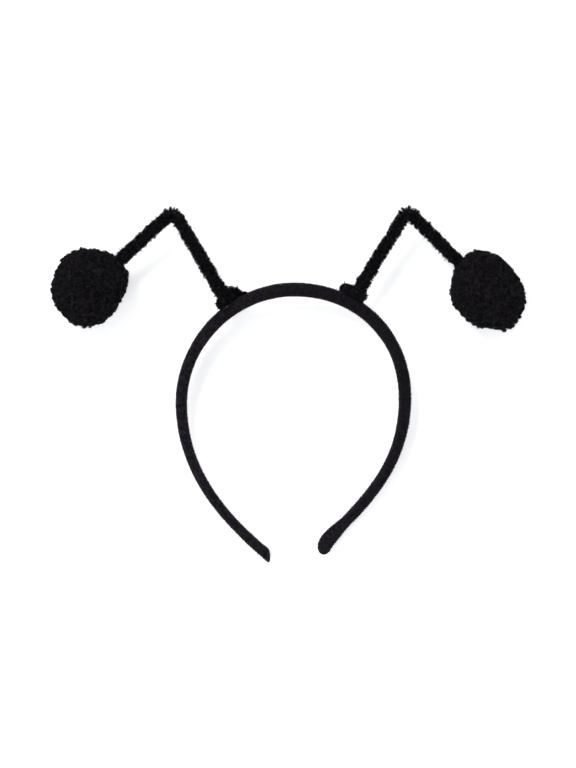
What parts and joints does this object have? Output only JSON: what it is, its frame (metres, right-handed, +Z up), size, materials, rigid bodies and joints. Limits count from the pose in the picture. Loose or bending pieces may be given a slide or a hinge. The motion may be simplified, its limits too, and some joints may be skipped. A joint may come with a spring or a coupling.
{
  "type": "antenna headband",
  "caption": "Costume hair band: a springy, fabric-covered open hoop with bent chenille antennae on its crown, each ending in a clipped pompom.",
  "frame": {"origin": "centre of the footprint at the level it lies on", "axes": "+X from one pompom to the other, +Y from the hoop's open ends towards its crown, +Z up from the surface it lies on, through the band's width"},
  "size_m": [0.2472, 0.1842, 0.0395],
  "materials": {
    "cover_fabric": "matte",
    "chenille": "matte",
    "pompom_yarn": "matte",
    "hot_glue": "gloss"
  },
  "bodies": {
    "root": {"hair_band": "cover_fabric", "antenna_left": "chenille", "antenna_right": "chenille", "pompom_left": "pompom_yarn", "pompom_right": "pompom_yarn", "glue_bead_left": "hot_glue"}
  },
  "joints": []
}
